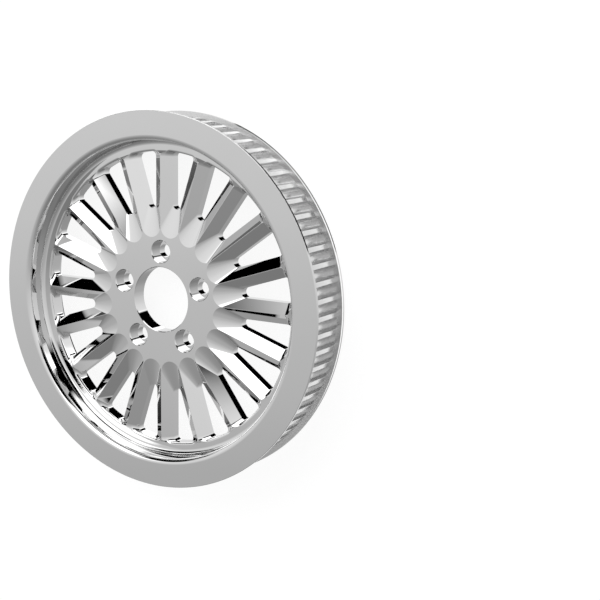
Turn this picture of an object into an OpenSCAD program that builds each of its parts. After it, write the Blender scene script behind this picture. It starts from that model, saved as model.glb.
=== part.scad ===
// Belt pulley for a toothed drive belt: one cast wheel, machined and plated.
// It lies on its back. The origin is the centre of the bore in the plane of the back rim,
// and +Z points along the bore to the front, the side with the counterbores.

/* [Belt teeth] */
// Number of grooves round the rim
teeth = 70; // [66:1:74]
// Distance from groove to groove along the belt's pitch line
tooth_pitch = 14; // [13.8:0.1:14.2]
// Height of the belt's pitch line above the tops of the teeth
pitch_line_h = 1.4; // [1:0.1:1.8]
// Radius of the round bottom of a groove
groove_r = 4.7; // [4:0.1:5]
// Depth of a groove below the tops of the teeth
groove_depth = 5.6; // [5:0.1:6.2]
// Rounding where a groove meets the top of a tooth
tooth_tip_r = 1; // [0.6:0.1:1.2]

/* [Rim] */
// Width of the whole pulley, over both flanges
rim_w = 47.5; // [44:0.5:52]
// Thickness of the front flange
front_flange_t = 2.2; // [1.8:0.1:3]
// Height of the front flange above the tops of the teeth
front_flange_h = 5.75; // [4:0.25:7]
// Thickness of the back flange at its edge
back_flange_t = 3.7; // [2.5:0.1:4.5]
// Height of the back flange above the tops of the teeth
back_flange_h = 4.25; // [3:0.25:6]
// How far the inner face of the back flange leans over towards its edge
back_flange_lean = 0.5; // [0.3:0.1:1.5]
// Rounding of the outer edges of both flanges
flange_edge_r = 0.4; // [0.3:0.05:1]
// Radius of the inner wall of the rim
rim_wall_r = 135.7; // [134:0.1:137]
// Rounding from the rim's end faces into its inner wall
rim_lip_r = 4.7; // [3:0.1:6]
// Hollow fillet between the rim's inner wall and the web
rim_root_r = 4.3; // [2.5:0.1:5]

/* [Web and hub] */
// Thickness of the web from the hub's front face to its back face
web_t = 13.7; // [12:0.1:16]
// Radius of the centre hole
bore_r = 27.94; // [25:0.01:30]
// Chamfer at both ends of the bore
bore_chamfer = 0.5; // [0.2:0.1:1]
// Radius at which the raised web ends, in front
step_r = 124.4; // [122:0.1:125]
// Depth of the ring round the spokes, below the hub's front face
step_h = 2; // [1:0.1:3]
// Radial length of the slope down to that ring
step_run = 2.4; // [1.5:0.1:3]

/* [Bolts] */
// Diameter of the bolt circle
bolt_circle_d = 82.55; // [80:0.05:86]
// Number of bolts
bolts = 5; // [4:1:6]
// Radius of a bolt hole
bolt_r = 5.6; // [5:0.05:6.5]
// Radius of the counterbore for a bolt head
head_r = 9.55; // [8:0.05:10]
// Depth of the counterbore
head_depth = 6.5; // [4:0.1:8]
// Chamfer round the counterbore
head_chamfer = 0.5; // [0.2:0.1:0.8]

/* [Spokes] */
// Number of spokes, and of pockets between them
spokes = 20; // [18:1:22]
// Width of the flat left along the top of a spoke
spoke_land_w = 0.3; // [0.2:0.05:1]
// Distance from a spoke's middle line to the edge of the slot beside it
slot_offset = 8.75; // [8:0.05:9.5]
// Depth at which a spoke's sloping side ends in the slot
slope_depth = 6.3; // [5:0.1:8]
// Distance from the axis to the middle of a pocket's round inner end, at the top
flute_top_r = 63.8; // [62:0.1:66]
// Distance from the axis to the middle of the round inner end of a slot
flute_low_r = 82.45; // [78:0.05:88]
// Radius of the outer wall of the slots
slot_end_r = 126; // [124:0.1:127]
// Radius of the corners at the outer end of a slot
slot_corner_r = 4; // [2:0.1:5]
// Rounding of the pocket's outer edge into the ring
pocket_edge_r = 2; // [1:0.1:2.2]

/* [Hidden] */
$fn = 120;
eps = 1;

// Belt teeth: the pitch circle holds the whole number of grooves
pitch_r = teeth * tooth_pitch / (2 * PI);
tip_r = pitch_r - pitch_line_h;
tooth_step = 360 / teeth;

// Rim and flanges
front_r = tip_r + front_flange_h;
back_r = tip_r + back_flange_h;
groove_z0 = back_flange_t + back_flange_lean;
groove_z1 = rim_w - front_flange_t;
groove_steps = 5;
lip_steps = 3;

// Web and hub, in the middle of the rim's width
web_z0 = (rim_w - web_t) / 2;
web_z1 = web_z0 + web_t;
ring_z = web_z1 - step_h;
ring_r0 = step_r + step_run;
arc_steps = 8;

// Spokes and pockets
half_step = 180 / spokes;
corner_start_r = slot_end_r - slot_corner_r;
flute_steps = 12;
corner_steps = 4;
end_steps = 4;
edge_steps = 3;
// The slopes run this far past the faces that they meet, and the grooves stop as far short
// of the flanges
overcut = 0.1;

// Points of a circular arc about c, from angle a0 to a1
function arc(c, r, a0, a1, n) =
    [for (i = [0:n]) let (a = a0 + (a1 - a0) * i / n) [c[0] + r * cos(a), c[1] + r * sin(a)]];

// Half section of the turned wheel, as [radius, height]
wheel_section = concat(
    [[bore_r, web_z0 + bore_chamfer], [bore_r, web_z1 - bore_chamfer],
     [bore_r + bore_chamfer, web_z1], [step_r, web_z1], [ring_r0, ring_z]],
    arc([rim_wall_r - rim_root_r, ring_z + rim_root_r], rim_root_r, 270, 360, arc_steps),
    arc([rim_wall_r + rim_lip_r, rim_w - rim_lip_r], rim_lip_r, 180, 90, arc_steps),
    arc([front_r - flange_edge_r, rim_w - flange_edge_r], flange_edge_r, 90, 0, arc_steps / 2),
    [[front_r, groove_z1], [tip_r, groove_z1], [tip_r, groove_z0], [back_r, back_flange_t]],
    arc([back_r - flange_edge_r, flange_edge_r], flange_edge_r, 0, -90, arc_steps / 2),
    arc([rim_wall_r + rim_lip_r, rim_lip_r], rim_lip_r, 270, 180, arc_steps),
    arc([rim_wall_r - rim_root_r, web_z0 - rim_root_r], rim_root_r, 0, 90, arc_steps),
    [[bore_r + bore_chamfer, web_z0]]
);

// The turned wheel before its teeth, holes and pockets are cut
module blank() {
    rotate_extrude() polygon(wheel_section);
}

// One groove between two teeth, as a section across the rim
module groove_section() {
    bottom_x = tip_r - groove_depth + groove_r;
    lip_x = tip_r - tooth_tip_r;
    lip_y = groove_r + tooth_tip_r;
    right = concat(
        arc([bottom_x, 0], groove_r, 180, 90, groove_steps),
        arc([lip_x, lip_y], tooth_tip_r, 270, 360, lip_steps),
        [[tip_r + eps, lip_y]]
    );
    left = [for (i = [len(right) - 1:-1:1]) [right[i][0], -right[i][1]]];
    polygon(concat(right, left));
}

// All grooves, from the back flange to the front flange
module grooves() {
    for (i = [0:teeth - 1]) {
        rotate(tooth_step * (i + 0.5))
            translate([0, 0, groove_z0 + overcut])
                linear_extrude(height = groove_z1 - groove_z0 - 2 * overcut) groove_section();
    }
}

// Bore and counterbored bolt holes
module bolt_holes() {
    for (i = [0:bolts - 1]) {
        rotate(90 + 360 * i / bolts) translate([bolt_circle_d / 2, 0, 0]) {
            translate([0, 0, web_z0 - eps]) cylinder(r = bolt_r, h = web_t + 2 * eps);
            translate([0, 0, web_z1 - head_depth]) cylinder(r = head_r, h = head_depth + eps);
            translate([0, 0, web_z1 - head_chamfer])
                cylinder(r1 = head_r, r2 = head_r + head_chamfer + eps, h = head_chamfer + eps);
        }
    }
}

// How far down the slope a depth below the hub's face is, from 0 at the top to 1 at the slot
function slope_share(depth) = min(max(depth, -overcut), slope_depth) / slope_depth;

// Distance of a pocket's side from the spoke's middle line
function side_offset(depth) =
    spoke_land_w / 2 + (slot_offset - spoke_land_w / 2) * slope_share(depth);

// Distance from the axis to the middle of the pocket's round inner end
function flute_r(depth) = flute_top_r + (flute_low_r - flute_top_r) * slope_share(depth);

// Radius of the pocket's outer end: upright, then rounded over into the ring, and a little past it
function end_r(depth) =
    let (
        up = min(max(step_h + pocket_edge_r - depth, 0), pocket_edge_r),
        over = min(max(step_h - depth, 0), overcut),
        first_a = 90 / edge_steps
    )
    slot_end_r + pocket_edge_r - sqrt(pow(pocket_edge_r, 2) - pow(up, 2))
        + over * sin(first_a) / (1 - cos(first_a));

// Outline of a pocket at one depth, with its middle line along +X
function pocket_outline(depth) =
    let (
        off = side_offset(depth),
        inner_c = flute_r(depth),
        inner_r = inner_c * sin(half_step) - off,
        outer_r = end_r(depth),
        corner_r = outer_r - corner_start_r,
        corner_d = outer_r - corner_r,
        corner_a = half_step - asin((off + corner_r) / corner_d),
        corner_c = [corner_d * cos(corner_a), corner_d * sin(corner_a)],
        upper = concat(
            arc(corner_c, corner_r, 90 + half_step, corner_a, corner_steps),
            [for (i = [1:end_steps / 2]) let (a = corner_a * (1 - 2 * i / end_steps))
                [outer_r * cos(a), outer_r * sin(a)]]
        ),
        lower = [for (i = [len(upper) - 2:-1:0]) [upper[i][0], -upper[i][1]]]
    )
    concat(upper, lower,
        arc([inner_c, 0], inner_r, 270 - half_step, 90 + half_step, flute_steps));

// Depths at which a pocket is sectioned, from above the hub's face to behind the web
pocket_depths = concat(
    [-eps, -overcut, step_h - overcut],
    [for (i = [1:edge_steps]) step_h + pocket_edge_r * (1 - cos(90 * i / edge_steps))],
    [slope_depth, web_t + eps]
);

// One pocket: its sides slope down from the tops of the spokes to a slot cut straight through
module pocket() {
    rings = [for (d = pocket_depths) pocket_outline(d)];
    n = len(rings[0]);
    levels = len(rings);
    points = [for (j = [0:levels - 1]) for (p = rings[j]) [p[0], p[1], web_z1 - pocket_depths[j]]];
    sides = [for (j = [0:levels - 2]) for (i = [0:n - 1])
        let (k = (i + 1) % n) [j * n + k, j * n + i, (j + 1) * n + i, (j + 1) * n + k]];
    top = [for (i = [0:n - 1]) i];
    bottom = [for (i = [n - 1:-1:0]) (levels - 1) * n + i];
    polyhedron(points = points, faces = concat(sides, [top, bottom]), convexity = 4);
}

// All pockets, which leave the spokes between them
module pockets() {
    for (i = [0:spokes - 1]) {
        rotate(2 * half_step * (i + 0.5)) pocket();
    }
}

module pulley() {
    color([0.78, 0.79, 0.8]) difference() {
        blank();
        grooves();
        bolt_holes();
        pockets();
    }
}

pulley();
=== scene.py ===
import math

import bpy
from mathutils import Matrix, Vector


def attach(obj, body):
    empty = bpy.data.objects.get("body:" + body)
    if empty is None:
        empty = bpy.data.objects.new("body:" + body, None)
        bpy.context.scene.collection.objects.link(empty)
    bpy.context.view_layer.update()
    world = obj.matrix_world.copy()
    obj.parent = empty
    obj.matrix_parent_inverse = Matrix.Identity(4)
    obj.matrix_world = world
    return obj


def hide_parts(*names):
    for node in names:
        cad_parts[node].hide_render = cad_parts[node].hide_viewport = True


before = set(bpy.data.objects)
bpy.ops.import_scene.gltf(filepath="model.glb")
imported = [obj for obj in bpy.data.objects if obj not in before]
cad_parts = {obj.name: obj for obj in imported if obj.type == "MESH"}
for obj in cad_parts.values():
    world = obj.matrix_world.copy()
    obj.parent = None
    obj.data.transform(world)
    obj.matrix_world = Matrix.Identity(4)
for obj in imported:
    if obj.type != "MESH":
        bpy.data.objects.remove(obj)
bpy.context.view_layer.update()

MM = 0.001
PI = math.pi

# Sizes in mm, as in the part

TEETH, TOOTH_PITCH, PITCH_LINE_H = 70, 14, 1.4
TIP_R = TEETH * TOOTH_PITCH / (2 * PI) - PITCH_LINE_H
GROOVE_R, GROOVE_DEPTH, TOOTH_TIP_R = 4.7, 5.6, 1.0
RIM_W = 47.5
FRONT_T, FRONT_H = 2.2, 5.75
BACK_T, BACK_H, BACK_LEAN = 3.7, 4.25, 0.5
FRONT_R = TIP_R + FRONT_H
BACK_R = TIP_R + BACK_H
GROOVE_Z0 = BACK_T + BACK_LEAN
GROOVE_Z1 = RIM_W - FRONT_T
FLANGE_EDGE_R = 0.4
WALL_R, LIP_R, ROOT_R = 135.7, 4.7, 4.3
WEB_T = 13.7
WEB_Z0 = (RIM_W - WEB_T) / 2
WEB_Z1 = WEB_Z0 + WEB_T
BORE_R, BORE_CHAMFER = 27.94, 0.5
STEP_R, STEP_H, STEP_RUN = 124.4, 2.0, 2.4
RING_Z = WEB_Z1 - STEP_H
BOLT_PCD, BOLTS, BOLT_R = 82.55, 5, 5.6
HEAD_R, HEAD_DEPTH, HEAD_CHAMFER = 9.55, 6.5, 0.5
SPOKES = 20
HALF_STEP = PI / SPOKES
LAND_W, SLOT_OFFSET, SLOPE_DEPTH = 0.3, 8.75, 6.3
FLUTE_TOP_R, FLUTE_LOW_R = 63.8, 82.45
SLOT_END_R, SLOT_CORNER_R, POCKET_EDGE_R = 126.0, 4.0, 2.0

# Segments round the wheel and round a bolt hole, and along each kind of arc
WHEEL_STEPS, HOLE_STEPS = 630, 72
WALL_STEPS, EDGE_STEPS = 14, 8
GROOVE_STEPS, CORNER_STEPS, END_STEPS, FLUTE_STEPS = 12, 12, 6, 32
# How far the cutters reach past the faces that they open
REACH = 1
# How far the grooves stop short of the flanges, and the pockets' edges run on above the ring
GAP = 0.02
# How far the pockets' slopes run on above the hub's face
SLOPE_REACH = 0.03
# How much wider a pocket gets for each mm that its edge runs on
FLARE = 8


def arc(cx, cy, r, a0, a1, n):
    """Points of an arc about (cx, cy), from a0 to a1 degrees."""
    return [
        (cx + r * math.cos(math.radians(a0 + (a1 - a0) * i / n)),
         cy + r * math.sin(math.radians(a0 + (a1 - a0) * i / n)))
        for i in range(n + 1)
    ]


# Meshes from outlines


def new_object(name, verts, faces):
    """Object from points in mm and faces."""
    mesh = bpy.data.meshes.new(name)
    mesh.from_pydata([(x * MM, y * MM, z * MM) for x, y, z in verts], [], faces)
    mesh.validate()
    obj = bpy.data.objects.new(name, mesh)
    bpy.context.scene.collection.objects.link(obj)
    return obj


def revolved(profile, steps):
    """Closed ring from a closed section of (radius, height) points."""
    n = len(profile)
    verts = [
        (r * math.cos(2 * PI * j / steps), r * math.sin(2 * PI * j / steps), z)
        for j in range(steps) for r, z in profile
    ]
    faces = []
    for j in range(steps):
        here, there = j * n, (j + 1) % steps * n
        for i in range(n):
            k = (i + 1) % n
            faces.append((here + i, here + k, there + k, there + i))
    return verts, faces


def lofted(rings):
    """Closed solid through clockwise outlines of equal length, from the bottom up."""
    n = len(rings[0])
    verts = [p for ring in rings for p in ring]
    faces = [
        ((j + 1) * n + i, (j + 1) * n + (i + 1) % n, j * n + (i + 1) % n, j * n + i)
        for j in range(len(rings) - 1) for i in range(n)
    ]
    faces.append(tuple(range(n)))
    faces.append(tuple(reversed(range((len(rings) - 1) * n, len(rings) * n))))
    return verts, faces


def turned(rings, angle):
    """Outlines turned about the wheel's axis."""
    c, s = math.cos(angle), math.sin(angle)
    return [[(x * c - y * s, x * s + y * c, z) for x, y, z in ring] for ring in rings]


def joined(parts):
    """Points and faces of several solids in one list each."""
    verts, faces = [], []
    for v, f in parts:
        base = len(verts)
        verts += v
        faces += [tuple(base + i for i in face) for face in f]
    return verts, faces


# The pulley


def wheel_section():
    """Half section of the turned wheel, as (radius, height) points."""
    return (
        [(BORE_R, WEB_Z0 + BORE_CHAMFER), (BORE_R, WEB_Z1 - BORE_CHAMFER),
         (BORE_R + BORE_CHAMFER, WEB_Z1), (STEP_R, WEB_Z1), (STEP_R + STEP_RUN, RING_Z)]
        + arc(WALL_R - ROOT_R, RING_Z + ROOT_R, ROOT_R, 270, 360, WALL_STEPS)
        + arc(WALL_R + LIP_R, RIM_W - LIP_R, LIP_R, 180, 90, WALL_STEPS)
        + arc(FRONT_R - FLANGE_EDGE_R, RIM_W - FLANGE_EDGE_R, FLANGE_EDGE_R, 90, 0, EDGE_STEPS)
        + [(FRONT_R, GROOVE_Z1), (TIP_R, GROOVE_Z1), (TIP_R, GROOVE_Z0), (BACK_R, BACK_T)]
        + arc(BACK_R - FLANGE_EDGE_R, FLANGE_EDGE_R, FLANGE_EDGE_R, 0, -90, EDGE_STEPS)
        + arc(WALL_R + LIP_R, LIP_R, LIP_R, 270, 180, WALL_STEPS)
        + arc(WALL_R - ROOT_R, WEB_Z0 - ROOT_R, ROOT_R, 0, 90, WALL_STEPS)
        + [(BORE_R + BORE_CHAMFER, WEB_Z0)]
    )


def groove_outline():
    """Section of a groove, with its middle line along X."""
    bottom_x = TIP_R - GROOVE_DEPTH + GROOVE_R
    lip_x, lip_y = TIP_R - TOOTH_TIP_R, GROOVE_R + TOOTH_TIP_R
    right = (
        arc(bottom_x, 0, GROOVE_R, 180, 90, GROOVE_STEPS)
        + arc(lip_x, lip_y, TOOTH_TIP_R, 270, 360, EDGE_STEPS)
        + [(TIP_R + REACH, lip_y)]
    )
    return right + [(x, -y) for x, y in reversed(right[1:])]


def grooves():
    """Cutters for all grooves, from flange to flange."""
    ends = (GROOVE_Z0 + GAP, GROOVE_Z1 - GAP)
    rings = [[(x, y, z) for x, y in groove_outline()] for z in ends]
    return [lofted(turned(rings, 2 * PI / TEETH * (i + 0.5))) for i in range(TEETH)]


def bolt_holes():
    """Cutters for the counterbored holes, turned about their own axes."""
    section = [
        (BOLT_R, WEB_Z0 - REACH), (BOLT_R, WEB_Z1 - HEAD_DEPTH), (HEAD_R, WEB_Z1 - HEAD_DEPTH),
        (HEAD_R, WEB_Z1 - HEAD_CHAMFER), (HEAD_R + HEAD_CHAMFER + REACH, WEB_Z1 + REACH),
    ]
    clockwise = [-2 * PI * j / HOLE_STEPS for j in range(HOLE_STEPS)]
    parts = []
    for i in range(BOLTS):
        a = PI / 2 + 2 * PI * i / BOLTS
        x0, y0 = BOLT_PCD / 2 * math.cos(a), BOLT_PCD / 2 * math.sin(a)
        rings = [
            [(x0 + r * math.cos(t), y0 + r * math.sin(t), z) for t in clockwise]
            for r, z in section
        ]
        parts.append(lofted(rings))
    return parts


def pocket_outline(depth):
    """Outline of a pocket at a depth below the hub's face, with its middle line along X."""
    share = min(max(depth, -SLOPE_REACH), SLOPE_DEPTH) / SLOPE_DEPTH
    off = LAND_W / 2 + (SLOT_OFFSET - LAND_W / 2) * share
    inner_c = FLUTE_TOP_R + (FLUTE_LOW_R - FLUTE_TOP_R) * share
    inner_r = inner_c * math.sin(HALF_STEP) - off
    up = min(max(STEP_H + POCKET_EDGE_R - depth, 0), POCKET_EDGE_R)
    over = min(max(STEP_H - depth, 0), GAP)
    edge = POCKET_EDGE_R - math.sqrt(POCKET_EDGE_R ** 2 - up ** 2)
    outer_r = SLOT_END_R + edge + over * FLARE
    corner_r = outer_r - (SLOT_END_R - SLOT_CORNER_R)
    corner_d = outer_r - corner_r
    corner_a = HALF_STEP - math.asin((off + corner_r) / corner_d)
    half = math.degrees(HALF_STEP)
    upper = arc(corner_d * math.cos(corner_a), corner_d * math.sin(corner_a), corner_r,
                90 + half, math.degrees(corner_a), CORNER_STEPS)
    for i in range(1, END_STEPS + 1):
        a = corner_a * (1 - i / END_STEPS)
        upper.append((outer_r * math.cos(a), outer_r * math.sin(a)))
    lower = [(x, -y) for x, y in reversed(upper[:-1])]
    return upper + lower + arc(inner_c, 0, inner_r, 270 - half, 90 + half, FLUTE_STEPS)


def pockets():
    """Cutters for all pockets, which leave the spokes between them."""
    edge_angles = [PI / 2 * i / EDGE_STEPS for i in range(1, EDGE_STEPS + 1)]
    edge = [STEP_H + POCKET_EDGE_R * (1 - math.cos(a)) for a in edge_angles]
    depths = [-REACH, -SLOPE_REACH, STEP_H - GAP] + edge + [SLOPE_DEPTH, WEB_T + REACH]
    rings = [[(x, y, WEB_Z1 - d) for x, y in pocket_outline(d)] for d in reversed(depths)]
    return [lofted(turned(rings, 2 * HALF_STEP * (i + 0.5))) for i in range(SPOKES)]


def build_pulley():
    """The turned wheel with its grooves, holes and pockets cut."""
    body = new_object("pulley_chrome", *revolved(wheel_section(), WHEEL_STEPS))
    cutters = [new_object("cut", *joined(p)) for p in (grooves(), bolt_holes(), pockets())]
    for cutter in cutters:
        mod = body.modifiers.new("cut", "BOOLEAN")
        mod.operation, mod.solver, mod.object = "DIFFERENCE", "EXACT", cutter
    graph = bpy.context.evaluated_depsgraph_get()
    mesh = bpy.data.meshes.new_from_object(body.evaluated_get(graph))
    body.modifiers.clear()
    body.data = mesh
    for cutter in cutters:
        bpy.data.objects.remove(cutter)
    return body


# Faces that meet at more than this many degrees keep a sharp edge
SHARP_ANGLE = 13.5


def smooth(obj):
    """Smooth shading that keeps the edges sharp and the large faces flat."""
    obj.data.shade_smooth()
    obj.data.set_sharp_from_angle(angle=math.radians(SHARP_ANGLE))
    weighted = obj.modifiers.new("normals", "WEIGHTED_NORMAL")
    weighted.mode = "FACE_AREA"
    weighted.keep_sharp = True
    weighted.weight = 100


pulley = build_pulley()
smooth(pulley)

# Chrome

CHROME, CHROME_SPREAD = 0.68, 0.01
# Size of the clouds in tone, polish and waviness, as clouds to the metre
TONE_CLOUDS, POLISH_CLOUDS, WAVE_CLOUDS = 25, 60, 90
# How far outside the toothed band a face's middle may lie and still be satin, in mm
BAND_MARGIN = 0.05


def noise(tree, place, scale, low, high):
    """Cloudy noise between two values; scale is in clouds to the metre."""
    cloud = tree.nodes.new("ShaderNodeTexNoise")
    cloud.inputs["Scale"].default_value = scale
    cloud.inputs["Detail"].default_value = 3
    spread = tree.nodes.new("ShaderNodeMapRange")
    spread.inputs["To Min"].default_value = low
    spread.inputs["To Max"].default_value = high
    tree.links.new(place, cloud.inputs["Vector"])
    tree.links.new(cloud.outputs["Fac"], spread.inputs["Value"])
    return spread.outputs["Result"]


def chrome_material(name, rough_low, rough_high, wave_height):
    """Plated metal: slightly cloudy in tone and polish, over a faintly wavy casting."""
    mat = bpy.data.materials.new(name)
    mat.use_nodes = True
    tree = mat.node_tree
    shader = tree.nodes["Principled BSDF"]
    shader.inputs["Metallic"].default_value = 1.0
    place = tree.nodes.new("ShaderNodeTexCoord").outputs["Object"]
    tone = tree.nodes.new("ShaderNodeCombineColor")
    for channel in tone.inputs:
        grey = noise(tree, place, TONE_CLOUDS, CHROME - CHROME_SPREAD, CHROME + CHROME_SPREAD)
        tree.links.new(grey, channel)
    tree.links.new(tone.outputs["Color"], shader.inputs["Base Color"])
    rough = noise(tree, place, POLISH_CLOUDS, rough_low, rough_high)
    tree.links.new(rough, shader.inputs["Roughness"])
    bump = tree.nodes.new("ShaderNodeBump")
    bump.inputs["Distance"].default_value = wave_height
    tree.links.new(noise(tree, place, WAVE_CLOUDS, 0, 1), bump.inputs["Height"])
    tree.links.new(bump.outputs["Normal"], shader.inputs["Normal"])
    return mat


def in_toothed_band(face):
    """Whether a face is of a tooth, a groove or a flange's inner face."""
    x, y, z = face.center / MM
    between = BACK_T + BAND_MARGIN < z < GROOVE_Z1 + BAND_MARGIN
    return between and math.hypot(x, y) > TIP_R - GROOVE_DEPTH - BAND_MARGIN


def plate(obj):
    """Bright chrome all over, apart from the satin toothed band."""
    bright = chrome_material("chrome", rough_low=0.01, rough_high=0.03, wave_height=2e-6)
    satin = chrome_material("satin_chrome", rough_low=0.2, rough_high=0.3, wave_height=2e-5)
    materials = obj.data.materials
    materials.clear()
    materials.append(bright)
    materials.append(satin)
    for face in obj.data.polygons:
        if in_toothed_band(face):
            face.material_index = materials.find(satin.name)


plate(pulley)
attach(pulley, "root")
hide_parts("pulley")

# Studio: what the reflections show, and plain white for the camera

# Grey by the Y of a direction: the tone, from 0 to 255, that the chrome shows
TONES = [(-0.93, 118), (-0.81, 123), (-0.73, 133), (-0.58, 144), (-0.45, 163), (-0.32, 168),
         (-0.26, 177), (-0.17, 185), (-0.11, 193), (-0.035, 198), (0.05, 203), (0.11, 207),
         (0.2, 214), (0.3, 218), (0.36, 222), (0.40, 238), (0.44, 255)]
# Past this Y the studio is brighter by the gain, so that chrome shows it as full white
WHITE_FROM, WHITE_SOFT, WHITE_GAIN = 0.42, 0.08, 1.6
# Black screens: azimuth from, to and softness, elevation from, to and softness, in degrees
SCREENS = [
    (25, 69, 5, -20, 36, 4),
    (31, 69, 8, 34, 49.5, 1),
    (44, 62, 8, 44, 55.5, 6),
    (66, 114, 4, -20, 12, 5),
    (112, 156, 6, -20, 15, 6),
    (121, 153, 12, 10, 34, 6),
    (129, 149, 8, 30, 39, 6),
]
# Round black screen below: azimuth, elevation, radius and softness, in degrees
DARK_SPOT = (82, -70, 25.6, 1.5)


def srgb(tone):
    """Brightness that shows as a tone from 0 to 255."""
    v = tone / 255
    return v / 12.92 if v <= 0.04045 else ((v + 0.055) / 1.055) ** 2.4


def math_node(tree, kind, a, b=None, clamp=False):
    """Result of a sum on one or two values, which are numbers or sockets."""
    node = tree.nodes.new("ShaderNodeMath")
    node.operation = kind
    node.use_clamp = clamp
    for i, v in enumerate((a, b)):
        if v is None:
            continue
        if isinstance(v, (int, float)):
            node.inputs[i].default_value = v
        else:
            tree.links.new(v, node.inputs[i])
    return node.outputs[0]


def band(tree, value, low, high, soft):
    """1 between low and high, falling to 0 over soft, half inside each limit and half outside."""
    up = math_node(tree, "DIVIDE", math_node(tree, "SUBTRACT", value, low - soft / 2), soft, True)
    down = math_node(tree, "DIVIDE", math_node(tree, "SUBTRACT", high + soft / 2, value), soft, True)
    return math_node(tree, "MULTIPLY", up, down)


def blackened(tree, colour, mask):
    """The colour, turned to black where the mask is 1."""
    mix = tree.nodes.new("ShaderNodeMix")
    mix.data_type = "RGBA"
    tree.links.new(mask, mix.inputs[0])
    tree.links.new(colour, mix.inputs[6])
    mix.inputs[7].default_value = (0, 0, 0, 1)
    return mix.outputs[2]


def grey_by_y(tree, y):
    """Soft greys from one side of the studio to the other."""
    to01 = tree.nodes.new("ShaderNodeMapRange")
    to01.inputs["From Min"].default_value = -1
    tree.links.new(y, to01.inputs["Value"])
    ramp = tree.nodes.new("ShaderNodeValToRGB")
    elements = ramp.color_ramp.elements
    while len(elements) < len(TONES):
        elements.new(0.5)
    for e, (at, tone) in zip(elements, TONES):
        v = srgb(tone)
        e.position = (at + 1) / 2
        e.color = (v, v, v, 1)
    tree.links.new(to01.outputs["Result"], ramp.inputs["Fac"])
    return ramp.outputs["Color"]


def spot_mask(tree, direction):
    """1 inside the round screen."""
    spot_az, spot_el, spot_r, spot_soft = [math.radians(v) for v in DARK_SPOT]
    flat = math.cos(spot_el)
    middle = Vector((flat * math.cos(spot_az), flat * math.sin(spot_az), math.sin(spot_el)))
    dot = tree.nodes.new("ShaderNodeVectorMath")
    dot.operation = "DOT_PRODUCT"
    tree.links.new(direction, dot.inputs[0])
    dot.inputs[1].default_value = middle
    away = math_node(tree, "ARCCOSINE", dot.outputs["Value"])
    return band(tree, away, -1, spot_r, spot_soft)


def make_world():
    """The studio for reflections and light, and plain white for the camera."""
    world = bpy.data.worlds.new("studio")
    bpy.context.scene.world = world
    world.use_nodes = True
    tree = world.node_tree
    nodes, links = tree.nodes, tree.links
    direction = nodes.new("ShaderNodeTexCoord").outputs["Generated"]
    split = nodes.new("ShaderNodeSeparateXYZ")
    links.new(direction, split.inputs["Vector"])
    x, y, z = split.outputs

    azimuth = math_node(tree, "MULTIPLY", math_node(tree, "ARCTAN2", y, x), 180 / PI)
    elevation = math_node(tree, "MULTIPLY", math_node(tree, "ARCSINE", z), 180 / PI)
    colour = grey_by_y(tree, y)
    for az0, az1, az_soft, el0, el1, el_soft in SCREENS:
        across = band(tree, azimuth, az0, az1, az_soft)
        upward = band(tree, elevation, el0, el1, el_soft)
        colour = blackened(tree, colour, math_node(tree, "MULTIPLY", across, upward))
    colour = blackened(tree, colour, spot_mask(tree, direction))

    white_side = band(tree, y, WHITE_FROM, 2, WHITE_SOFT)
    extra = math_node(tree, "MULTIPLY", white_side, WHITE_GAIN - 1)
    bright = math_node(tree, "ADD", 1, extra)
    back = nodes["Background"]
    links.new(colour, back.inputs["Color"])
    links.new(math_node(tree, "DIVIDE", bright, CHROME), back.inputs["Strength"])

    white = nodes.new("ShaderNodeBackground")
    white.inputs["Color"].default_value = (1, 1, 1, 1)
    path = nodes.new("ShaderNodeLightPath")
    mix = nodes.new("ShaderNodeMixShader")
    links.new(path.outputs["Is Camera Ray"], mix.inputs["Fac"])
    links.new(back.outputs["Background"], mix.inputs[1])
    links.new(white.outputs["Background"], mix.inputs[2])
    links.new(mix.outputs["Shader"], nodes["World Output"].inputs["Surface"])


make_world()

# Floor

FLOOR_SIZE, FLOOR_Z = 6, -0.0005
FLOOR_GREY, FLOOR_GLOW = 0.16, 0.88


def make_floor():
    """Ground that looks white to the camera and takes a faint shadow."""
    bpy.ops.mesh.primitive_plane_add(size=FLOOR_SIZE, location=(0, 0, FLOOR_Z))
    floor = bpy.context.object
    floor.name = "floor"
    mat = bpy.data.materials.new("floor")
    mat.use_nodes = True
    nodes, links = mat.node_tree.nodes, mat.node_tree.links
    shader = nodes["Principled BSDF"]
    shader.inputs["Base Color"].default_value = (FLOOR_GREY, FLOOR_GREY, FLOOR_GREY, 1)
    shader.inputs["Roughness"].default_value = 0.9
    glow = nodes.new("ShaderNodeEmission")
    glow.inputs["Strength"].default_value = FLOOR_GLOW
    path = nodes.new("ShaderNodeLightPath")
    off = nodes.new("ShaderNodeMixShader")
    both = nodes.new("ShaderNodeAddShader")
    links.new(path.outputs["Is Camera Ray"], off.inputs["Fac"])
    links.new(glow.outputs["Emission"], off.inputs[2])
    links.new(shader.outputs["BSDF"], both.inputs[0])
    links.new(off.outputs["Shader"], both.inputs[1])
    links.new(both.outputs["Shader"], nodes["Material Output"].inputs["Surface"])
    floor.data.materials.append(mat)
    floor.visible_glossy = False


make_floor()

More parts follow.
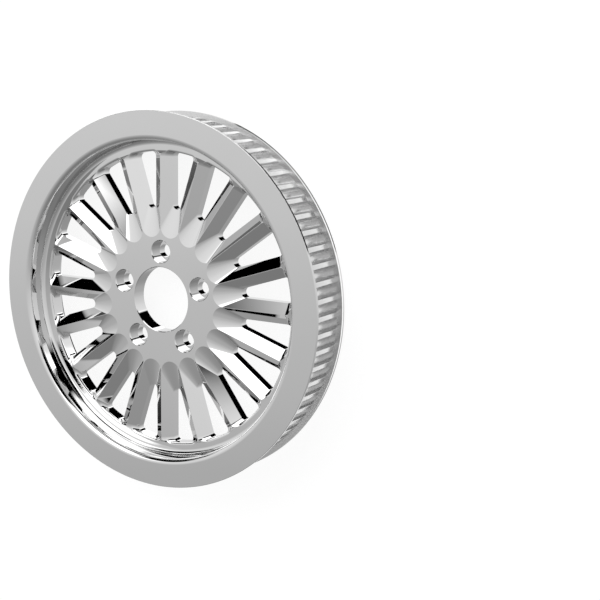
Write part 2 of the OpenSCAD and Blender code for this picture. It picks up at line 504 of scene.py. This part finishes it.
# Pale ring on the floor, which lights the toothed band: radius in mm and brightness there
BOARD_RINGS = [(160, 1.5), (163, 1.15), (174, 0.95), (181, 0.9)]
BOARD_STEPS, BOARD_Z = 180, -0.4


def board_mesh():
    """Flat ring through the circles of BOARD_RINGS."""
    steps = BOARD_STEPS
    angles = [2 * PI * j / steps for j in range(steps)]
    verts = [(r * math.cos(a), r * math.sin(a), BOARD_Z) for r, _ in BOARD_RINGS for a in angles]
    faces = []
    for i in range(len(BOARD_RINGS) - 1):
        inner, outer = i * steps, (i + 1) * steps
        for j in range(steps):
            k = (j + 1) % steps
            faces.append((inner + j, outer + j, outer + k, inner + k))
    return verts, faces


def make_mat_board():
    """The pale ring, which only the reflections show."""
    board = new_object("mat_board", *board_mesh())
    level = board.data.attributes.new("level", "FLOAT", "POINT")
    for i, (_, value) in enumerate(BOARD_RINGS):
        for j in range(BOARD_STEPS):
            level.data[i * BOARD_STEPS + j].value = value
    mat = bpy.data.materials.new("mat_board")
    mat.use_nodes = True
    nodes, links = mat.node_tree.nodes, mat.node_tree.links
    nodes.remove(nodes["Principled BSDF"])
    glow = nodes.new("ShaderNodeEmission")
    read = nodes.new("ShaderNodeAttribute")
    read.attribute_name = "level"
    links.new(read.outputs["Fac"], glow.inputs["Strength"])
    links.new(glow.outputs["Emission"], nodes["Material Output"].inputs["Surface"])
    board.data.materials.append(mat)
    board.visible_camera = False
    board.visible_diffuse = False
    board.visible_shadow = False


make_mat_board()

# Camera, as fitted to the photo


def make_camera():
    """The photo's view of the pulley."""
    data = bpy.data.cameras.new("camera")
    data.lens = 71.46
    data.sensor_width = 36
    data.shift_x = 0.225
    data.shift_y = -0.0033
    camera = bpy.data.objects.new("camera", data)
    camera.rotation_mode = "QUATERNION"
    camera.rotation_quaternion = (0.947646, -0.086823, 0.306195, 0.025946)
    camera.location = (0.588747, 0.184851, 0.839698)
    bpy.context.scene.collection.objects.link(camera)
    bpy.context.scene.camera = camera


make_camera()
bpy.context.scene.view_settings.view_transform = "Standard"
